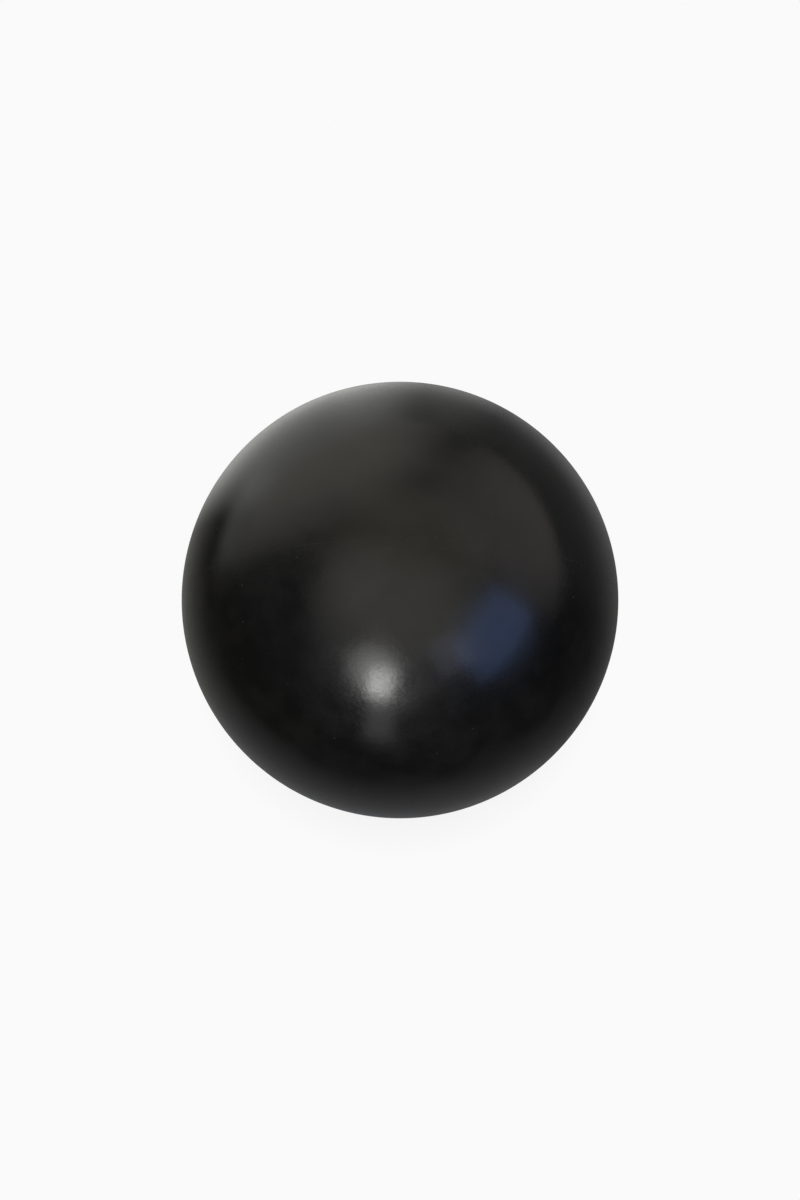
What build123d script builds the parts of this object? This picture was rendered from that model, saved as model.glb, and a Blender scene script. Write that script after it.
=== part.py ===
from build123d import *

import math
import os

# Inflatable rubber friction ball for opening and closing screw-back watch cases.
#
# Millimetres. The origin is the centre of the ball, +Y runs out along the valve and
# +Z is up; the tool is pressed on a watch along -Z. Every piece is turned about the
# Y axis, apart from the flat bill of the valve core and the slit in it.

# Ball
ball_diameter = 65.0
cover_wall = 4.0  # tacky outer rubber
bladder_wall = 1.0  # airtight lining
bond_line = 0.05  # cement between two layers, and the fit between the valve's pieces

# Stepped seam between the two halves of the cover
lap_length = 2.5  # how far the tongue of the front half runs into the back half
tongue_wall = 2.0  # thickness of the tongue, from the cavity outwards
cement_film = 0.15

# Valve core: the soft plug that the inflating needle is pushed through
guide_radius = 1.1  # takes a 2.0 mm ball needle
guide_depth = 6.0  # open hole below the funnel
funnel_radius = 1.9
funnel_depth = 0.9
slit_width = 2.0
slit_gap = 0.12  # how far the cut stands open
head_radius = 3.4
head_thickness = 1.8
shank_radius = 2.5
bulb_overhang = 0.9  # how far the bulb catches behind the end of the housing
bulb_length = 2.4
bulb_taper = 1.2  # length of its tapered end
bill_length = 3.0
bill_width = 3.4
bill_thickness = 1.0

# Valve housing: the moulded sleeve that is bonded into the wall of the ball
neck_wall = 1.7  # around the head of the core
stem_wall = 1.6  # around its shank
stem_bore_length = 13.0  # from the shoulder under the head to the inner end
flange_overhang = 3.2  # flange beyond the neck
flange_thickness = 1.2
housing_recess = 0.12  # its face below the surface of the ball
head_recess = 0.3  # face of the core below the surface of the ball
edge_round = 0.25

# Patch inside the bladder, round the stem
patch_overhang = 4.5  # beyond the stem
patch_thickness = 0.8
patch_feather = 0.5  # bevel of its rim

# Spheres about the centre
ball_radius = ball_diameter / 2
cavity_radius = ball_radius - cover_wall
bladder_radius = cavity_radius - bond_line
bladder_bore_radius = bladder_radius - bladder_wall
patch_radius = bladder_bore_radius - bond_line
flange_top = cavity_radius + flange_thickness
housing_top = ball_radius - housing_recess
head_top = ball_radius - head_recess

# Cylinders about the valve axis
tongue_radius = cavity_radius + tongue_wall
core_bore_radius = shank_radius + bond_line
head_bore_radius = head_radius + bond_line
stem_radius = core_bore_radius + stem_wall
neck_radius = head_bore_radius + neck_wall
flange_radius = neck_radius + flange_overhang
bulb_radius = core_bore_radius + bulb_overhang

# Heights along the valve axis
head_seat = head_top - head_thickness  # shoulder that stops the head
stem_end = head_seat - stem_bore_length
bulb_top = stem_end - bond_line
bulb_end = bulb_top - bulb_length
bill_end = bulb_end - bill_length
funnel_end = head_top - funnel_depth
guide_end = funnel_end - guide_depth

half_film = cement_film / 2
reach = ball_diameter  # beyond every section


def height_on(radius, distance):
    """Height along Y of a sphere of this radius, at a distance from the Y axis."""
    return math.sqrt(radius**2 - distance**2)


def shell_section(outer, inner):
    """Adds the ring between two circles about the centre to the open sketch."""
    Circle(outer)
    Circle(inner, mode=Mode.SUBTRACT)


def block_section(low, high, mode=Mode.ADD):
    """Adds or cuts the rectangle between two opposite corners in the open sketch."""
    Polygon(low, (high[0], low[1]), high, (low[0], high[1]), mode=mode)


def rings_of(turned):
    """The full circles among the edges of a turned piece, lowest along Y first."""
    return turned.edges().filter_by(lambda edge: edge.is_closed).sort_by(Axis.Y)


# Front half of the cover, the working side, with the tongue of the seam.
with BuildPart() as cover_front:
    with BuildSketch(Plane.XY):
        shell_section(ball_radius, cavity_radius)
        Polygon(
            (0, -reach),
            (reach, -reach),
            (reach, -half_film),
            (tongue_radius - half_film, -half_film),
            (tongue_radius - half_film, lap_length - half_film),
            (0, lap_length - half_film),
            mode=Mode.INTERSECT,
        )
    revolve(axis=Axis.Y)
cover_front.part.label = "cover_front"

# Back half of the cover, with the rebate for the tongue, the round opening for the
# neck of the valve and, inside, the pocket that the flange is bedded in.
with BuildPart() as cover_back:
    with BuildSketch(Plane.XY):
        shell_section(ball_radius, cavity_radius)
        Polygon(
            (neck_radius + bond_line, reach),
            (reach, reach),
            (reach, half_film),
            (tongue_radius + half_film, half_film),
            (tongue_radius + half_film, lap_length + half_film),
            (neck_radius + bond_line, lap_length + half_film),
            mode=Mode.INTERSECT,
        )
    revolve(axis=Axis.Y)
    with BuildSketch(Plane.XY):
        shell_section(flange_top + bond_line, cavity_radius - bond_line)
        block_section((flange_radius + bond_line, -reach), (reach, reach), Mode.SUBTRACT)
        block_section((-reach, -reach), (0, reach), Mode.SUBTRACT)
        block_section((0, -reach), (reach, 0), Mode.SUBTRACT)
    revolve(axis=Axis.Y, mode=Mode.SUBTRACT)
    valve_mouth = rings_of(cover_back)[-1]
    fillet(valve_mouth, radius=edge_round)
cover_back.part.label = "cover_back"

# Cured cement in the stepped joint between the two halves.
with BuildPart() as seam_cement:
    with BuildSketch(Plane.XY):
        shell_section(ball_radius, cavity_radius)
        Polygon(
            (reach, -half_film),
            (reach, half_film),
            (tongue_radius + half_film, half_film),
            (tongue_radius + half_film, lap_length + half_film),
            (0, lap_length + half_film),
            (0, lap_length - half_film),
            (tongue_radius - half_film, lap_length - half_film),
            (tongue_radius - half_film, -half_film),
            mode=Mode.INTERSECT,
        )
    revolve(axis=Axis.Y)
seam_cement.part.label = "seam_cement"

# Airtight bladder, moulded in one piece, with a hole for the stem of the valve.
with BuildPart() as bladder:
    with BuildSketch(Plane.XY):
        shell_section(bladder_radius, bladder_bore_radius)
        block_section((-reach, -reach), (0, reach), Mode.SUBTRACT)
        block_section((0, 0), (stem_radius + bond_line, reach), Mode.SUBTRACT)
    revolve(axis=Axis.Y)
bladder.part.label = "bladder"

# Valve housing: neck through the cover, flange between cover and bladder, and stem
# into the air space. Its bore is stepped for the head of the core.
with BuildPart() as valve_housing:
    neck_root = height_on(cavity_radius + flange_thickness / 2, neck_radius)
    with BuildSketch(Plane.XY):
        shell_section(flange_top, cavity_radius)
        block_section((0, 0), (flange_radius, reach), Mode.INTERSECT)
        block_section((0, stem_end), (stem_radius, flange_top))
        block_section((0, neck_root), (neck_radius, reach))
        Circle(housing_top, mode=Mode.INTERSECT)
        block_section((0, 0), (core_bore_radius, reach), Mode.SUBTRACT)
        block_section((0, head_seat), (head_bore_radius, reach), Mode.SUBTRACT)
    revolve(axis=Axis.Y)
    fillet(rings_of(valve_housing)[-2:], radius=edge_round)
    stem_rim = rings_of(valve_housing)[:2].sort_by(SortBy.RADIUS)[-1]
    chamfer(stem_rim, length=edge_round)
valve_housing.part.label = "valve_housing"

# Valve core: head, shank, bulb that catches behind the stem, and a flat bill whose
# lips the air in the ball presses shut.
with BuildPart() as valve_core:
    with BuildSketch(Plane.XY):
        block_section((0, head_seat), (head_radius, reach))
        block_section((0, bulb_top), (shank_radius, reach))
        Circle(head_top, mode=Mode.INTERSECT)
        Polygon(
            (0, bulb_end),
            (shank_radius, bulb_end),
            (bulb_radius, bulb_end + bulb_taper),
            (bulb_radius, bulb_top),
            (0, bulb_top),
        )
    revolve(axis=Axis.Y)
    head_rim = rings_of(valve_core)[-1]
    fillet(head_rim, radius=edge_round)
    with BuildSketch(Plane.XZ.offset(-bulb_end)):
        Circle(shank_radius)
    with BuildSketch(Plane.XZ.offset(-bill_end)):
        Rectangle(bill_width, bill_thickness)
    loft()
    with BuildSketch(Plane.XY):
        Polygon(
            (0, guide_end),
            (guide_radius, guide_end),
            (guide_radius, funnel_end),
            (funnel_radius, height_on(head_top, funnel_radius)),
            (funnel_radius, reach),
            (0, reach),
        )
    revolve(axis=Axis.Y, mode=Mode.SUBTRACT)
    with BuildSketch(Plane.XZ.offset(-guide_end)):
        Rectangle(slit_width, slit_gap)
    extrude(amount=guide_end - bill_end, mode=Mode.SUBTRACT)
valve_core.part.label = "valve_core"

# Patch that spreads the pull of the stem over the bladder, with a feathered rim.
with BuildPart() as valve_patch:
    with BuildSketch(Plane.XY):
        shell_section(patch_radius, patch_radius - patch_thickness)
        block_section(
            (stem_radius + bond_line, 0),
            (stem_radius + patch_overhang, reach),
            Mode.INTERSECT,
        )
    revolve(axis=Axis.Y)
    outer_rings = rings_of(valve_patch).sort_by(SortBy.RADIUS)[-2:]
    chamfer(outer_rings.sort_by(Axis.Y)[0], length=patch_feather)
valve_patch.part.label = "valve_patch"

os.makedirs("parts", exist_ok=True)
for piece in (
    cover_front,
    cover_back,
    seam_cement,
    bladder,
    valve_housing,
    valve_core,
    valve_patch,
):
    export_step(piece.part, f"parts/{piece.part.label}.step")
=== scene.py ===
import math

import bpy
import numpy as np
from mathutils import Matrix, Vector


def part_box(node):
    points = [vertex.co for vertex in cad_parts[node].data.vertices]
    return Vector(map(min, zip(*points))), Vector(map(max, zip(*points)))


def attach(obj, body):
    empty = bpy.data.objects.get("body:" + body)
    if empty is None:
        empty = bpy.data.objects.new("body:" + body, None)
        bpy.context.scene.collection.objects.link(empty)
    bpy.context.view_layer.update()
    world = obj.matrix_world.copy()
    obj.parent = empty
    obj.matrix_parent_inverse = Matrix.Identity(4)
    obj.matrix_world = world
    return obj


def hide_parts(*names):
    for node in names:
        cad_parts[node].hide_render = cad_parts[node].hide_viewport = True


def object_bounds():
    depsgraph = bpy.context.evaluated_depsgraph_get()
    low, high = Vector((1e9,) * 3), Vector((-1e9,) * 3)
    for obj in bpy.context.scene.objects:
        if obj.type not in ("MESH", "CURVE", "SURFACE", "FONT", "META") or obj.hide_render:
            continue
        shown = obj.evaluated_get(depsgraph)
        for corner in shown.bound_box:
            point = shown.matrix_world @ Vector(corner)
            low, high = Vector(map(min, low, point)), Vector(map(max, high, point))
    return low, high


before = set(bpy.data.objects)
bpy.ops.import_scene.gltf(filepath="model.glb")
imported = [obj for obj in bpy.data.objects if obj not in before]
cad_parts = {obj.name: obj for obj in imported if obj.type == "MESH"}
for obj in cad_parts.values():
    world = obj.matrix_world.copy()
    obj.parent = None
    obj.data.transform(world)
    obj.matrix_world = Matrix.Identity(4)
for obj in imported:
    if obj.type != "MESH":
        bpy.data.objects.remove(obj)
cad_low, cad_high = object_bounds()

scene = bpy.context.scene

# ---------------------------------------------------------------------------
# Front half of the cover
# The blind working side: a half shell of soft, tacky natural rubber, compression
# moulded. Its tongue runs into the back half and is cemented there, and the seam is
# buffed flush, so that the ball doesn't mark a watch case.
# ---------------------------------------------------------------------------
mm = 0.001
ball_radius = cad_high.x
bond_line = 0.05 * mm
cavity_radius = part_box("bladder")[1].x + bond_line
half_film = 0.075 * mm
lap_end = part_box("cover_front")[1].y
tongue_wall = 2.0 * mm
tongue_radius = cavity_radius + tongue_wall

cover_turns = 384
unevenness = 0.03 * mm
rubber_black = (0.0058, 0.0057, 0.0054, 1)
rubber_bloom = (0.0100, 0.0098, 0.0093, 1)
rubber_roughness = 0.21
rubber_variation = 0.13
grain_height = 0.010 * mm
patch_size = 17 * mm
smudge_size = 4 * mm
grain_size = 0.5 * mm
speck_spacing = 1.3 * mm
speck_dust = (0.075, 0.072, 0.066, 1)


def sphere_arc(radius, start, stop, steps):
    """Section of a sphere about the ball's centre: (radius sin t, radius cos t), with t the
    angle off the valve axis. One more ring close to each end keeps the shading true there."""
    hold = 0.01 * (stop - start) / steps
    t = np.hstack((start, np.linspace(start + hold, stop - hold, steps), stop))
    return np.column_stack((radius * np.sin(t), radius * np.cos(t)))


def angle_at(radius, across=None, height=None):
    """Angle off the valve axis of a sphere's point, from its distance to that axis or its height."""
    return math.asin(across / radius) if height is None else math.acos(height / radius)


def sink(points):
    """Draws the outer skin in by 0 to 0.03 mm, as moulded rubber is never quite round: the mean
    of six waves sin(k . p + phase), 16 to 40 mm long, fading to nothing 1 mm below the skin."""
    draw = np.random.default_rng(5)
    heading = draw.normal(size=(6, 3))
    heading /= np.linalg.norm(heading, axis=1)[:, None]
    wavelength = draw.uniform(16 * mm, 40 * mm, 6)
    phase = draw.uniform(0, 2 * np.pi, 6)
    wave = np.sin(points @ (heading * (2 * np.pi / wavelength)[:, None]).T + phase).mean(axis=1)
    distance = np.linalg.norm(points, axis=1)
    skin = np.clip((distance - ball_radius) / mm + 1, 0, 1)
    return points * (1 - skin * unevenness * (0.5 - 0.5 * wave) / ball_radius)[:, None]


def turned(name, section, turns, depth=None, square=None, poles=False):
    """Closed skin round the valve axis. Point (i, j) is (w_i C_j, h_i, d_i S_j), where C and S are
    cos and sin of 2 pi j / turns raised to 2 / square_i, w and h are the section, and d, the
    depth, is w unless given. With poles the section's two ends lie on the axis, and the rings
    close to them, which would be slivers, are left out; else it closes."""
    width, height = section.T
    depth = width if depth is None else depth
    power = 2 / (np.full(len(width), 2.0) if square is None else square)
    angle = np.arange(turns) * (2 * np.pi / turns)
    cosine = np.sign(np.cos(angle)) * np.abs(np.cos(angle)) ** power[:, None]
    sine = np.sign(np.sin(angle)) * np.abs(np.sin(angle)) ** power[:, None]
    rows = np.stack(
        (width[:, None] * cosine, np.repeat(height[:, None], turns, 1), depth[:, None] * sine), -1
    )
    column = np.arange(turns)
    beside = (column + 1) % turns
    if poles:
        rows, ends = rows[2:-2], np.array([[0, height[0], 0], [0, height[-1], 0]])
        row = np.arange(len(rows) - 1)[:, None] * turns
        above = row + turns
    else:
        ends = np.zeros((0, 3))
        row = np.arange(len(rows))[:, None] * turns
        above = np.roll(row, -1)
    quads = np.stack((row + column, above + column, above + beside, row + beside), -1)
    faces = quads.reshape(-1, 4).tolist()
    if poles:
        last, pole = (len(rows) - 1) * turns, len(rows) * turns
        faces += np.stack((np.full(turns, pole), column, beside), -1).tolist()
        faces += np.stack((last + column, np.full(turns, pole + 1), last + beside), -1).tolist()
    points = sink(np.vstack((rows.reshape(-1, 3), ends)))
    mesh = bpy.data.meshes.new(name)
    mesh.from_pydata(points.tolist(), [], faces)
    mesh.shade_smooth()
    mesh.set_sharp_from_angle(angle=math.radians(38))
    piece = bpy.data.objects.new(name, mesh)
    scene.collection.objects.link(piece)
    return piece


def group_with(name, inputs, outputs):
    """Empty shader node group with these sockets, as (name, kind) pairs."""
    group = bpy.data.node_groups.new(name, "ShaderNodeTree")
    for label, kind in inputs:
        group.interface.new_socket(label, in_out="INPUT", socket_type=kind)
    for label, kind in outputs:
        group.interface.new_socket(label, in_out="OUTPUT", socket_type=kind)
    return group, group.nodes.new("NodeGroupInput"), group.nodes.new("NodeGroupOutput")


def noise_in(group, place, size, detail):
    """Noise texture on the piece's own coordinates, whose features are about size metres across."""
    noise = group.nodes.new("ShaderNodeTexNoise")
    noise.inputs["Scale"].default_value = 1 / size
    noise.inputs["Detail"].default_value = detail
    group.links.new(place, noise.inputs["Vector"])
    return noise.outputs["Fac"]


def ramp_in(group, value, low, high, to_low=0.0, to_high=1.0, kind="SMOOTHSTEP"):
    """Value carried from low..high to to_low..to_high, clamped at both ends."""
    ramp = group.nodes.new("ShaderNodeMapRange")
    ramp.interpolation_type = kind
    for label, number in zip(("From Min", "From Max", "To Min", "To Max"), (low, high, to_low, to_high)):
        ramp.inputs[label].default_value = number
    group.links.new(value, ramp.inputs["Value"])
    return ramp.outputs["Result"]


def sum_in(group, *terms, operation="ADD"):
    """Sum, or another operation in turn, of sockets and numbers."""
    total = terms[0]
    for term in terms[1:]:
        node = group.nodes.new("ShaderNodeMath")
        node.operation = operation
        for socket, value in zip(node.inputs, (total, term)):
            if isinstance(value, (int, float)):
                socket.default_value = value
            else:
                group.links.new(value, socket)
        total = node.outputs[0]
    return total


def mix_in(group, share, one, other):
    """Colour one turned into colour other by share; either may be a socket or a colour."""
    mix = group.nodes.new("ShaderNodeMix")
    mix.data_type = "RGBA"
    group.links.new(share, mix.inputs["Factor"])
    for socket, colour in ((mix.inputs["A"], one), (mix.inputs["B"], other)):
        if isinstance(colour, tuple):
            socket.default_value = colour
        else:
            group.links.new(colour, socket)
    return mix.outputs["Result"]


# What all the rubber here shares: a faint bloom in patches, a roughness that changes from patch to
# patch where hands have polished it, a fine grain off the mould, and a few specks of dust stuck on.
# The three noises average a half each, so their sum less 1.5 swings evenly about nothing.
rubber_skin, given, made = group_with(
    "rubber_skin",
    [("Base", "NodeSocketColor"), ("Bloom", "NodeSocketColor"), ("Roughness", "NodeSocketFloat"),
     ("Variation", "NodeSocketFloat")],
    [("Color", "NodeSocketColor"), ("Roughness", "NodeSocketFloat"), ("Height", "NodeSocketFloat")],
)
place = rubber_skin.nodes.new("ShaderNodeTexCoord").outputs["Object"]
patches = noise_in(rubber_skin, place, patch_size, 2.0)
smudges = noise_in(rubber_skin, place, smudge_size, 3.0)
grain = noise_in(rubber_skin, place, grain_size, 4.0)
bloomed = ramp_in(rubber_skin, sum_in(rubber_skin, patches, smudges), 0.85, 1.25)
cells = rubber_skin.nodes.new("ShaderNodeTexVoronoi")
cells.inputs["Scale"].default_value = 1 / speck_spacing
rubber_skin.links.new(place, cells.inputs["Vector"])
cell_tone = rubber_skin.nodes.new("ShaderNodeSeparateColor")
rubber_skin.links.new(cells.outputs["Color"], cell_tone.inputs[0])
specks = sum_in(
    rubber_skin,
    ramp_in(rubber_skin, cells.outputs["Distance"], 0.04, 0.085, 0.7, 0.0),
    ramp_in(rubber_skin, cell_tone.outputs[0], 0.66, 0.95),
    operation="MULTIPLY",
)
skin_colour = mix_in(rubber_skin, bloomed, given.outputs["Base"], given.outputs["Bloom"])
rubber_skin.links.new(mix_in(rubber_skin, specks, skin_colour, speck_dust), made.inputs["Color"])
spread = sum_in(rubber_skin, sum_in(rubber_skin, patches, smudges, grain), -1.5)
spread = sum_in(rubber_skin, spread, given.outputs["Variation"], operation="MULTIPLY")
rubber_skin.links.new(
    sum_in(rubber_skin, spread, given.outputs["Roughness"], specks), made.inputs["Roughness"]
)
rubber_skin.links.new(grain, made.inputs["Height"])


def rubber(name, base, bloom, roughness, variation, grain_depth):
    """Rubber material: the shared skin's colour, roughness and grain on a Principled surface."""
    material = bpy.data.materials.new(name)
    material.use_nodes = True
    tree = material.node_tree
    skin = tree.nodes.new("ShaderNodeGroup")
    skin.node_tree = rubber_skin
    skin.inputs["Base"].default_value = base
    skin.inputs["Bloom"].default_value = bloom
    skin.inputs["Roughness"].default_value = roughness
    skin.inputs["Variation"].default_value = variation
    bump = tree.nodes.new("ShaderNodeBump")
    bump.inputs["Distance"].default_value = grain_depth
    surface = tree.nodes["Principled BSDF"]
    surface.inputs["IOR"].default_value = 1.5
    surface.inputs["Sheen Weight"].default_value = 0.10
    surface.inputs["Sheen Roughness"].default_value = 0.3
    tree.links.new(skin.outputs["Height"], bump.inputs["Height"])
    tree.links.new(skin.outputs["Color"], surface.inputs["Base Color"])
    tree.links.new(skin.outputs["Roughness"], surface.inputs["Roughness"])
    tree.links.new(bump.outputs["Normal"], surface.inputs["Normal"])
    return material


cover_rubber = rubber(
    "cover_rubber", rubber_black, rubber_bloom, rubber_roughness, rubber_variation, grain_height
)

seam_front = angle_at(ball_radius, height=-half_film)
cover_front = turned(
    "ball_cover_front",
    np.vstack((
        sphere_arc(ball_radius, math.pi, seam_front, 110),
        [(tongue_radius - half_film, -half_film), (tongue_radius - half_film, lap_end)],
        sphere_arc(cavity_radius, angle_at(cavity_radius, height=lap_end), math.pi, 60),
    )),
    cover_turns,
    poles=True,
)
cover_front.data.materials.append(cover_rubber)
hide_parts("cover_front")
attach(cover_front, "root")

# ---------------------------------------------------------------------------
# Back half of the cover
# The half shell with the valve: the same rubber, rebated for the tongue, with a
# rounded mouth in a shallow dish where the mould pressed it round the valve's neck,
# and a pocket on its inside for the valve's flange.
# ---------------------------------------------------------------------------
neck_radius = 5.15 * mm
mouth_radius = neck_radius + bond_line
dish_depth = 0.14 * mm
dish_radius = 9.0 * mm
flange_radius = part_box("valve_housing")[1].x
flange_thickness = 1.2 * mm
flange_top = cavity_radius + flange_thickness
housing_recess = 0.12 * mm
housing_top = ball_radius - housing_recess
lip = 0.3 * mm
dust_grain = 0.7 * mm
joint_grey = (0.045, 0.043, 0.039, 1)


def rounded(before, corner, after, ease, steps=6):
    """Corner of a section rounded off: the quadratic curve (1-t)^2 p + 2t(1-t) corner + t^2 q, from p
    to q, the points at distance ease from the corner towards its two neighbours."""
    before, corner, after = (np.array(point, float) for point in (before, corner, after))
    p = corner + ease * (before - corner) / np.linalg.norm(before - corner)
    q = corner + ease * (after - corner) / np.linalg.norm(after - corner)
    t = np.linspace(0, 1, steps)[:, None]
    return (1 - t) ** 2 * p + 2 * t * (1 - t) * corner + t**2 * q


def on_sphere(radius, across):
    """Section point of a sphere at a distance from the valve axis."""
    return across, math.sqrt(radius**2 - across**2)


seam_back = angle_at(ball_radius, height=half_film)
skin_arc = sphere_arc(ball_radius, seam_back, angle_at(ball_radius, across=mouth_radius + lip), 150)
dished = np.clip((dish_radius - skin_arc[:, 0]) / (dish_radius - mouth_radius - lip), 0, 1)
skin_arc *= (1 - dish_depth / ball_radius * dished**2 * (3 - 2 * dished))[:, None]
mouth = on_sphere(ball_radius - dish_depth, mouth_radius)
pocket_top = flange_top + bond_line
pocket_radius = flange_radius + bond_line
lap_height = lap_end + 2 * half_film
cover_back = turned(
    "ball_cover_back",
    np.vstack((
        skin_arc[:-1],
        rounded(skin_arc[-1], mouth, (mouth_radius, 0), lip),
        sphere_arc(
            pocket_top,
            angle_at(pocket_top, across=mouth_radius),
            angle_at(pocket_top, across=pocket_radius),
            8,
        ),
        sphere_arc(
            cavity_radius,
            angle_at(cavity_radius, across=pocket_radius),
            angle_at(cavity_radius, height=lap_height),
            60,
        ),
        [(tongue_radius + half_film, lap_height), (tongue_radius + half_film, half_film)],
    )),
    cover_turns,
)


def vector_in(group, operation, *terms):
    """Vector Math node on sockets or constants; gives its vector, or a length or dot product."""
    node = group.nodes.new("ShaderNodeVectorMath")
    node.operation = operation
    for socket, term in zip(node.inputs, terms):
        if isinstance(term, tuple):
            socket.default_value = term
        else:
            group.links.new(term, socket)
    return node.outputs["Value" if operation in ("LENGTH", "DOT_PRODUCT") else "Vector"]


def pair_in(group, first, second):
    """Vector of two sockets, with a third part of nothing."""
    node = group.nodes.new("ShaderNodeCombineXYZ")
    group.links.new(first, node.inputs[0])
    group.links.new(second, node.inputs[1])
    return node.outputs[0]


def off_axis(group, place):
    """Distance of a place from the valve axis, the length of its x and z."""
    return vector_in(group, "LENGTH", vector_in(group, "MULTIPLY", place, (1, 0, 1)))


# Grey dust that gathers in the ring-shaped joints of the valve: a mask by the distance to a ring of
# this radius at this height along the axis, 1 on the ring and 0 beyond its width, broken up by noise.
joint_dust, given, made = group_with(
    "joint_dust",
    [("Color", "NodeSocketColor"), ("Dust", "NodeSocketColor"), ("Radius", "NodeSocketFloat"),
     ("Height", "NodeSocketFloat"), ("Width", "NodeSocketFloat")],
    [("Color", "NodeSocketColor")],
)
place = joint_dust.nodes.new("ShaderNodeTexCoord").outputs["Object"]
parts = joint_dust.nodes.new("ShaderNodeSeparateXYZ")
joint_dust.links.new(place, parts.inputs[0])
from_ring = vector_in(
    joint_dust,
    "LENGTH",
    vector_in(
        joint_dust,
        "SUBTRACT",
        pair_in(joint_dust, off_axis(joint_dust, place), parts.outputs["Y"]),
        pair_in(joint_dust, given.outputs["Radius"], given.outputs["Height"]),
    ),
)
share = sum_in(joint_dust, from_ring, given.outputs["Width"], operation="DIVIDE")
settled = ramp_in(joint_dust, share, 0.0, 1.0, 1.0, 0.0)
patchy = ramp_in(joint_dust, noise_in(joint_dust, place, dust_grain, 4.0), 0.35, 0.65, 0.15, 0.8)
settled = sum_in(joint_dust, settled, patchy, operation="MULTIPLY")
joint_dust.links.new(
    mix_in(joint_dust, settled, given.outputs["Color"], given.outputs["Dust"]), made.inputs["Color"]
)


def dusted(material, radius, width):
    """Puts dust between a material's colour and its surface, round a ring-shaped joint of the valve."""
    tree = material.node_tree
    base = tree.nodes["Principled BSDF"].inputs["Base Color"]
    dust_node = tree.nodes.new("ShaderNodeGroup")
    dust_node.node_tree = joint_dust
    dust_node.inputs["Dust"].default_value = joint_grey
    dust_node.inputs["Radius"].default_value = radius
    dust_node.inputs["Height"].default_value = on_sphere(housing_top, radius)[1]
    dust_node.inputs["Width"].default_value = width
    tree.links.new(base.links[0].from_socket, dust_node.inputs["Color"])
    tree.links.new(dust_node.outputs["Color"], base)
    return material


cover_back.data.materials.append(dusted(cover_rubber, mouth_radius + 0.1 * mm, 0.6 * mm))
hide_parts("cover_back")
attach(cover_back, "root")

# ---------------------------------------------------------------------------
# Seam
# The film of rubber cement that fills the stepped joint of the two halves. It cures
# to the same black and is buffed down with the cover, so only a hair's breadth of
# slightly duller rubber shows at the surface.
# ---------------------------------------------------------------------------
seam = turned(
    "seam_film",
    np.vstack((
        sphere_arc(ball_radius, seam_front, seam_back, 2),
        [
            (tongue_radius + half_film, half_film),
            (tongue_radius + half_film, lap_height),
            on_sphere(cavity_radius, lap_height)[::-1],
            on_sphere(cavity_radius, lap_end)[::-1],
            (tongue_radius - half_film, lap_end),
            (tongue_radius - half_film, -half_film),
        ],
    )),
    cover_turns,
)
film_rubber = rubber(
    "seam_cement", rubber_black, rubber_bloom, rubber_roughness + 0.10, rubber_variation, grain_height
)
seam.data.materials.append(film_rubber)
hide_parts("seam_cement")
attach(seam, "root")

# ---------------------------------------------------------------------------
# Valve housing
# A moulded sleeve of firmer rubber: a neck that stands in the cover's mouth, a
# flange vulcanised between cover and bladder, and a stem into the air space. Its face
# has one fine groove from the mould, and dust settles in the joint round it.
# ---------------------------------------------------------------------------
stem_radius = 4.15 * mm
stem_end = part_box("valve_housing")[0].y
head_bore_radius = 3.45 * mm
core_bore_radius = 2.55 * mm
head_recess = 0.3 * mm
head_thickness = 1.8 * mm
head_top = ball_radius - head_recess
head_seat = head_top - head_thickness
groove_radius = 4.3 * mm
groove_width = 0.22 * mm
groove_depth = 0.09 * mm
edge = 0.28 * mm

valve_face = sphere_arc(
    housing_top,
    angle_at(housing_top, across=neck_radius - edge),
    angle_at(housing_top, across=head_bore_radius + edge),
    36,
)
valve_face[:, 1] -= groove_depth * np.exp(-(((valve_face[:, 0] - groove_radius) / groove_width * 2) ** 2))
neck_root = on_sphere(flange_top, neck_radius)
housing = turned(
    "valve_housing_face",
    np.vstack((
        [(stem_radius, stem_end + edge)],
        sphere_arc(
            cavity_radius,
            angle_at(cavity_radius, across=stem_radius),
            angle_at(cavity_radius, across=flange_radius),
            8,
        ),
        sphere_arc(
            flange_top,
            angle_at(flange_top, across=flange_radius),
            angle_at(flange_top, across=neck_radius),
            8,
        ),
        rounded(neck_root, on_sphere(housing_top, neck_radius), valve_face[0], edge),
        valve_face[1:-1],
        rounded(valve_face[-1], on_sphere(housing_top, head_bore_radius), (head_bore_radius, 0), edge),
        [
            (head_bore_radius, head_seat),
            (core_bore_radius, head_seat),
            (core_bore_radius, stem_end),
            (stem_radius - edge, stem_end),
        ],
    )),
    160,
)

housing_rubber = rubber(
    "valve_rubber", (0.015, 0.0147, 0.014, 1), (0.027, 0.0265, 0.025, 1), 0.44, 0.10, 0.008 * mm
)
housing.data.materials.append(dusted(housing_rubber, neck_radius, 0.5 * mm))
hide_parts("valve_housing")
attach(housing, "root")

# ---------------------------------------------------------------------------
# Valve core
# A soft moulded plug that is pushed into the housing and held by its head and its
# bulb. The needle goes in through the funnel and opens the slit in the flat bill. Its
# funnel is oiled, so it shines more than the rest.
# ---------------------------------------------------------------------------
head_radius = 3.4 * mm
shank_radius = 2.5 * mm
bulb_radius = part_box("valve_core")[1].x
bulb_top = stem_end - bond_line
bulb_length = 2.4 * mm
bulb_end = bulb_top - bulb_length
bulb_taper = 1.2 * mm
bill_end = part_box("valve_core")[0].y
bill_half_width = 1.7 * mm
bill_half_thickness = 0.5 * mm
funnel_radius = 1.9 * mm
guide_radius = 1.1 * mm
funnel_depth = 0.9 * mm
funnel_end = head_top - funnel_depth
guide_depth = 6.0 * mm
guide_end = funnel_end - guide_depth
bill_square = 6.0
slit_half_width = 1.0 * mm
slit_half_gap = 0.06 * mm
bead_radius = 2.75 * mm
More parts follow.
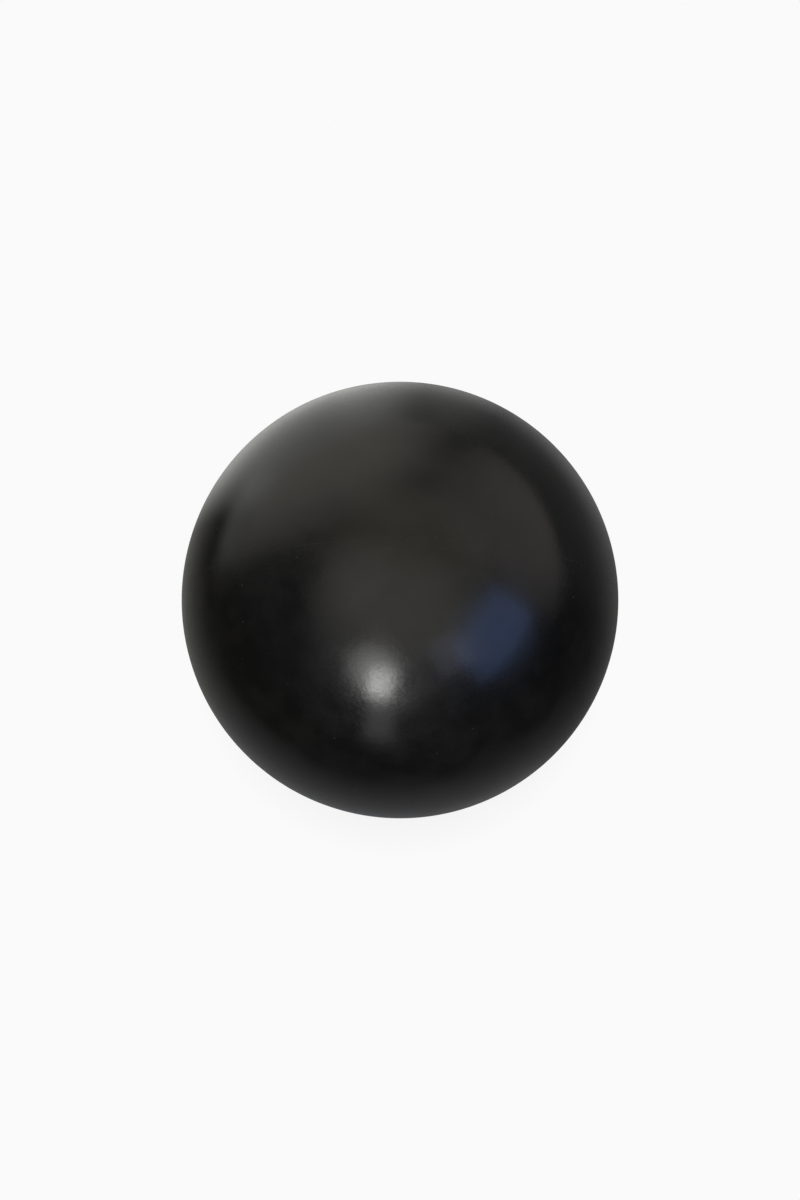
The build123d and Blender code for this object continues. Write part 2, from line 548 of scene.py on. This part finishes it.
bead_width = 0.3 * mm
bead_height = 0.07 * mm

core_face = sphere_arc(
    head_top,
    angle_at(head_top, across=head_radius - edge),
    angle_at(head_top, across=funnel_radius + edge),
    24,
)
core_face[:, 1] += bead_height * np.exp(-(((core_face[:, 0] - bead_radius) / bead_width * 2) ** 2))
funnel_mouth = on_sphere(head_top, funnel_radius)
funnel_throat = (guide_radius, funnel_end)
core_section = np.vstack((
    [(bill_half_width, bill_end), (shank_radius, bulb_end)],
    [(bulb_radius, bulb_end + bulb_taper), (bulb_radius, bulb_top), (shank_radius, bulb_top)],
    [(shank_radius, head_seat), (head_radius, head_seat)],
    rounded((head_radius, head_seat), on_sphere(head_top, head_radius), core_face[0], edge),
    core_face[1:-1],
    rounded(core_face[-1], funnel_mouth, funnel_throat, edge),
    rounded(funnel_mouth, funnel_throat, (guide_radius, guide_end), edge),
    [(guide_radius, guide_end), (slit_half_width, guide_end), (slit_half_width, bill_end)],
))
# The bill's end and the slit are flat and nearly square; every other ring is round.
core_depth = core_section[:, 0].copy()
core_depth[0] = bill_half_thickness
core_depth[-2:] = slit_half_gap
core_square = np.full(len(core_section), 2.0)
core_square[[0, -2, -1]] = bill_square
core = turned("valve_core_plug", core_section, 128, depth=core_depth, square=core_square)
core_rubber = rubber(
    "core_rubber", (0.021, 0.0204, 0.019, 1), (0.033, 0.0322, 0.030, 1), 0.38, 0.08, 0.006 * mm
)
core.data.materials.append(dusted(core_rubber, head_radius, 0.45 * mm))

# Oil on the plug: the roughness falls to that of a wet surface inside a radius about the valve axis.
oil_film, given, made = group_with(
    "oil_film",
    [("Roughness", "NodeSocketFloat"), ("Radius", "NodeSocketFloat")],
    [("Roughness", "NodeSocketFloat")],
)
place = oil_film.nodes.new("ShaderNodeTexCoord").outputs["Object"]
reach = sum_in(oil_film, off_axis(oil_film, place), given.outputs["Radius"], operation="DIVIDE")
dry = ramp_in(oil_film, reach, 0.85, 1.15, 0.35, 1.0)
oil_film.links.new(
    sum_in(oil_film, given.outputs["Roughness"], dry, operation="MULTIPLY"), made.inputs["Roughness"]
)
oil = core_rubber.node_tree.nodes.new("ShaderNodeGroup")
oil.node_tree = oil_film
oil.inputs["Radius"].default_value = funnel_radius + 0.2 * mm
finish = core_rubber.node_tree.nodes["Principled BSDF"].inputs["Roughness"]
core_rubber.node_tree.links.new(finish.links[0].from_socket, oil.inputs["Roughness"])
core_rubber.node_tree.links.new(oil.outputs["Roughness"], finish)
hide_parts("valve_core")
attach(core, "root")

# ---------------------------------------------------------------------------
# Bladder
# The airtight lining: butyl rubber moulded in one piece, blown up against the cover
# from inside, with a hole for the valve's stem. It is matt, and greyed with talc in patches.
# ---------------------------------------------------------------------------
bladder_radius = cavity_radius - bond_line
bladder_wall = 1.0 * mm
bladder_bore_radius = bladder_radius - bladder_wall
stem_hole_radius = stem_radius + bond_line
hole_outside = angle_at(bladder_radius, across=stem_hole_radius)
hole_inside = angle_at(bladder_bore_radius, across=stem_hole_radius)

bladder = turned(
    "air_bladder",
    np.vstack((
        sphere_arc(bladder_radius, math.pi, hole_outside, 90),
        sphere_arc(bladder_bore_radius, hole_inside, math.pi, 90),
    )),
    256,
    poles=True,
)
butyl = rubber(
    "bladder_butyl", (0.013, 0.013, 0.0135, 1), (0.07, 0.07, 0.068, 1), 0.62, 0.12, 0.01 * mm
)
bladder.data.materials.append(butyl)
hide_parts("bladder")
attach(bladder, "root")

# ---------------------------------------------------------------------------
# Patch
# A butyl washer inside the bladder, vulcanised to it and to the stem, so that the
# stem's pull is spread. Its rim is feathered to a thin edge.
# ---------------------------------------------------------------------------
patch_radius = bladder_bore_radius - bond_line
patch_thickness = 0.8 * mm
patch_bore_radius = patch_radius - patch_thickness
patch_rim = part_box("valve_patch")[1].x
feather = 0.5 * mm
rim_thickness = 0.3 * mm

patch_foot = on_sphere(patch_bore_radius, patch_rim - feather)
patch_corner = (patch_rim, on_sphere(patch_radius, patch_rim)[1] - rim_thickness)
patch = turned(
    "valve_patch_washer",
    np.vstack((
        sphere_arc(
            patch_radius,
            angle_at(patch_radius, across=patch_rim),
            angle_at(patch_radius, across=stem_hole_radius),
            16,
        ),
        sphere_arc(
            patch_bore_radius,
            angle_at(patch_bore_radius, across=stem_hole_radius),
            angle_at(patch_bore_radius, across=patch_rim - feather),
            16,
        )[:-1],
        rounded((stem_hole_radius, patch_foot[1]), patch_foot, patch_corner, 0.2 * mm),
        patch_corner,
    )),
    160,
)
patch.data.materials.append(butyl)
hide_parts("valve_patch")
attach(patch, "root")

# ---------------------------------------------------------------------------
# Room
# A plain pale background with soft studio light in it: a broad ceiling, pale walls to
# the right and behind, all without edges. The camera sees only the pale background.
# ---------------------------------------------------------------------------
pale = (0.955, 0.955, 0.955, 1)
room_dim = (0.053, 0.056, 0.065)


def bearing(round_from_front, above_table):
    """Unit vector, from degrees round from the front towards the right and degrees above the table."""
    turn, rise = math.radians(round_from_front), math.radians(above_table)
    return Vector((math.sin(turn) * math.cos(rise), -math.cos(turn) * math.cos(rise), math.sin(rise)))


def lobe_in(tree, way, towards, full, gone):
    """Mask that is 1 within full degrees of a direction and falls smoothly to 0 at gone degrees."""
    along = vector_in(tree, "DOT_PRODUCT", way, tuple(towards))
    return ramp_in(tree, along, math.cos(math.radians(gone)), math.cos(math.radians(full)))


world = bpy.data.worlds.new("room")
scene.world = world
world.use_nodes = True
tree = world.node_tree
tree.nodes.clear()
way = tree.nodes.new("ShaderNodeTexCoord").outputs["Generated"]
light = room_dim
# Degrees round from the front and above the table, degrees to the full and the outer edge, radiance.
for round_from_front, above_table, full, gone, radiance in (
    (100, 89, 24, 54, (0.41, 0.385, 0.29)),  # ceiling
    (-8, 59, 17, 54, (0.33, 0.325, 0.33)),  # front of the ceiling
    (-16.5, 37.5, 1, 16.5, (2.7, 2.7, 2.6)),  # glow round the key light
    (120, 20, 9, 46, (0.54, 0.49, 0.46)),  # right wall
    (178, 42, 2, 34, (0.22, 0.21, 0.18)),  # back of the ceiling
    (-150, 6, 12, 55, (0.80, 0.77, 0.68)),  # back left wall
    (-92, 65, 5, 24, (0.115, 0.12, 0.13)),  # left of the ceiling
    (64, 29, 1, 27, (0.22, 0.34, 0.66)),  # glow of the window
):
    mask = lobe_in(tree, way, bearing(round_from_front, above_table), full, gone)
    light = vector_in(tree, "MULTIPLY_ADD", radiance, mask, light)
backdrop = tree.nodes.new("ShaderNodeBackground")
backdrop.inputs["Color"].default_value = pale
room = tree.nodes.new("ShaderNodeBackground")
tree.links.new(light, room.inputs["Color"])
light_path = tree.nodes.new("ShaderNodeLightPath")
either = tree.nodes.new("ShaderNodeMixShader")
output = tree.nodes.new("ShaderNodeOutputWorld")
tree.links.new(light_path.outputs["Is Camera Ray"], either.inputs["Fac"])
tree.links.new(room.outputs[0], either.inputs[1])
tree.links.new(backdrop.outputs[0], either.inputs[2])
tree.links.new(either.outputs[0], output.inputs["Surface"])

# ---------------------------------------------------------------------------
# Floor
# A plain pale table that runs on into the background, with a faint contact shadow. In
# the rubber's reflections it is dim, but for pools of light in front of the walls.
# ---------------------------------------------------------------------------
table_half = 6.0
table_height = -ball_radius
shadow_reach = 14 * mm
shadow_tint = 0.80
# Colours of the table as the rubber reflects it: painted lighter close to the ball, a painted pool of
# light, and painted darker towards the right, painted shade.
near_albedo = 0.27
far_albedo = 0.04
right_painted_shade = 0.35

corners = np.array([(-1, -1), (1, -1), (1, 1), (-1, 1)]) * table_half
floor_mesh = bpy.data.meshes.new("floor")
floor_mesh.from_pydata([(x, y, table_height) for x, y in corners], [], [(0, 1, 2, 3)])
floor = bpy.data.objects.new("floor", floor_mesh)
scene.collection.objects.link(floor)

floor_paint = bpy.data.materials.new("floor_paint")
floor_paint.use_nodes = True
tree = floor_paint.node_tree
tree.nodes.clear()
shadow = tree.nodes.new("ShaderNodeAmbientOcclusion")
shadow.samples = 16
shadow.inputs["Distance"].default_value = shadow_reach
shaded = tuple(channel * shadow_tint for channel in pale[:3]) + (1,)
seen = tree.nodes.new("ShaderNodeEmission")
place = tree.nodes.new("ShaderNodeTexCoord").outputs["Object"]
level = vector_in(tree, "MULTIPLY", place, (1, 1, 0))
way = vector_in(tree, "NORMALIZE", level)
pool = tree.nodes.new("ShaderNodeEmission")
pool.inputs["Color"].default_value = (1, 1, 0.98, 1)
distance = vector_in(tree, "LENGTH", level)
pools = 0.0
# Degrees round from the front, to the full and the outer edge, fade-in by distance, radiance.
for round_from_front, full, gone, near, far, strength in (
    (-152, 10, 35, 15 * mm, 75 * mm, 0.80),  # in front of the left wall
    (178, 3, 24, 15 * mm, 75 * mm, 0.24),  # behind the ball
    (135, 5, 55, 15 * mm, 75 * mm, 0.10),  # in front of the right wall
    (-119, 3, 21, 130 * mm, 220 * mm, 0.45),  # further off to the left
):
    towards = lobe_in(tree, way, bearing(round_from_front, 0), full, gone)
    lit = sum_in(tree, towards, ramp_in(tree, distance, near, far), strength, operation="MULTIPLY")
    pools = sum_in(tree, pools, lit)
tree.links.new(pools, pool.inputs["Strength"])
paint = tree.nodes.new("ShaderNodeBsdfDiffuse")
# Painted pool of light: the reflected table colour is lighter within 45 mm of the ball and falls to dim
# by 120 mm.
albedo = ramp_in(tree, distance, 45 * mm, 120 * mm, near_albedo, far_albedo)
# Painted shade: the reflected table colour is darker towards the right.
to_right = lobe_in(tree, way, bearing(86, 0), 5, 52)
painted_shade_right = ramp_in(tree, to_right, 0.0, 1.0, 1.0, right_painted_shade, "LINEAR")
tree.links.new(sum_in(tree, albedo, painted_shade_right, operation="MULTIPLY"), paint.inputs["Color"])
unseen = tree.nodes.new("ShaderNodeAddShader")
light_path = tree.nodes.new("ShaderNodeLightPath")
either = tree.nodes.new("ShaderNodeMixShader")
output = tree.nodes.new("ShaderNodeOutputMaterial")
tree.links.new(mix_in(tree, shadow.outputs["AO"], shaded, pale), seen.inputs["Color"])
tree.links.new(paint.outputs[0], unseen.inputs[0])
tree.links.new(pool.outputs[0], unseen.inputs[1])
tree.links.new(light_path.outputs["Is Camera Ray"], either.inputs["Fac"])
tree.links.new(unseen.outputs[0], either.inputs[1])
tree.links.new(seen.outputs[0], either.inputs[2])
tree.links.new(either.outputs[0], output.inputs["Surface"])
floor_mesh.materials.append(floor_paint)

# ---------------------------------------------------------------------------
# Studio lamps
# One small softbox in front with a long strip below it, and a cool window to the right.
# Directions are as for the room, and radiance is in units of the pale background.
# ---------------------------------------------------------------------------
lamp_distance = 1.0
warm_white = (1.0, 1.0, 0.98)


def softbox(name, round_from_front, above_table, size, radiance, colour):
    """Flat lamp that faces the ball from lamp_distance, size = (width, height) in metres.
    Its power is radiance times pi times its area."""
    towards = bearing(round_from_front, above_table)
    lamp = bpy.data.lights.new(name, "AREA")
    lamp.shape = "RECTANGLE"
    lamp.size, lamp.size_y = size
    lamp.energy = radiance * math.pi * size[0] * size[1]
    lamp.color = colour
    holder = bpy.data.objects.new(name, lamp)
    holder.location = towards * lamp_distance
    holder.rotation_euler = towards.to_track_quat("Z", "Y").to_euler()
    holder.visible_camera = False
    scene.collection.objects.link(holder)


softbox("key", -10.8, 31.2, (0.18, 0.27), 11.0, warm_white)
softbox("key_strip", -9, 11.5, (0.21, 0.50), 0.85, warm_white)
softbox("window", 59.5, 31.5, (0.68, 0.50), 1.0, (0.25, 0.39, 0.84))
softbox("window_side", 34, 41, (0.33, 0.36), 0.55, (0.88, 0.92, 1.20))

# ---------------------------------------------------------------------------
# Camera
# It looks down on the ball from in front, at 75 degrees above the table.
# ---------------------------------------------------------------------------
camera_rise = 75
camera_distance = 0.4227
camera_lens = 85.0

camera_data = bpy.data.cameras.new("camera")
camera_data.lens = camera_lens
camera_data.clip_start = 10 * mm
camera = bpy.data.objects.new("camera", camera_data)
camera.location = bearing(0, camera_rise) * camera_distance
camera.rotation_euler = bearing(0, camera_rise).to_track_quat("Z", "Y").to_euler()
scene.collection.objects.link(camera)
scene.camera = camera
scene.view_settings.view_transform = "Standard"
